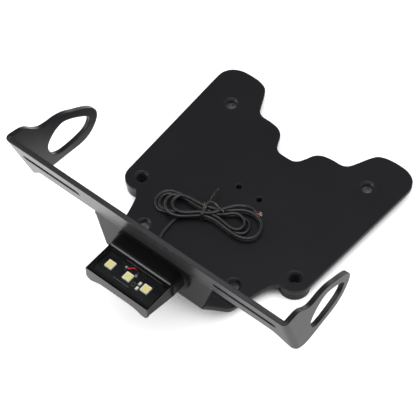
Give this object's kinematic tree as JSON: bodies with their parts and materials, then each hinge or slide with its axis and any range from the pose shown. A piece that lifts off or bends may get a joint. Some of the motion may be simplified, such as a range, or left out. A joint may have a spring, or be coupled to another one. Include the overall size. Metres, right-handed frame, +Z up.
{
  "type": "motorbike tail tidy",
  "caption": "Black folded sheet bracket that carries a motorbike's number plate, with ears for indicators, a small plate lamp and its coiled lead.",
  "frame": {"origin": "midway between the centres of the two spacers, on their lower faces, which meet the motorbike", "axes": "+X along the number plate bar to the right of the lamp's view, +Y from the bar towards the far edge of the base plate, +Z up out of the base plate's upper face"},
  "size_m": [0.2044, 0.2004, 0.0827],
  "materials": {
    "sheet_black": "satin powder coat",
    "spacer_black": "satin powder coat",
    "lamp_black": "glossy moulded",
    "rubber_black": "matte",
    "lens_clear": "clear polished",
    "board_black": "solder mask",
    "chip_white": "matte",
    "phosphor_yellow": "silicone",
    "solder": "tin solder",
    "wire_red": "soft insulation",
    "wire_black": "soft insulation",
    "screw_steel": "zinc plated",
    "lead_black": "soft satin insulation",
    "tie_black": "coated wire",
    "strands": "tinned copper strands"
  },
  "bodies": {
    "root": {"bracket": "sheet_black", "spacer_left": "spacer_black", "spacer_right": "spacer_black", "lamp_housing": "lamp_black", "lamp_gasket": "rubber_black", "lamp_lens": "lens_clear", "circuit_board": "board_black", "led_left": "chip_white", "led_middle": "chip_white", "led_right": "chip_white", "led_phosphor": "phosphor_yellow", "resistors": "chip_white", "solder_joints": "solder", "board_wire_red": "wire_red", "board_wire_black": "wire_black", "lamp_screws": "screw_steel", "screw_washers": "screw_steel", "grommet": "rubber_black", "lead_run": "lead_black", "lead_hank": "lead_black", "lead_tail": "lead_black", "twist_tie": "tie_black", "core_red": "wire_red", "core_black": "wire_black", "bare_strands": "strands"}
  },
  "joints": []
}
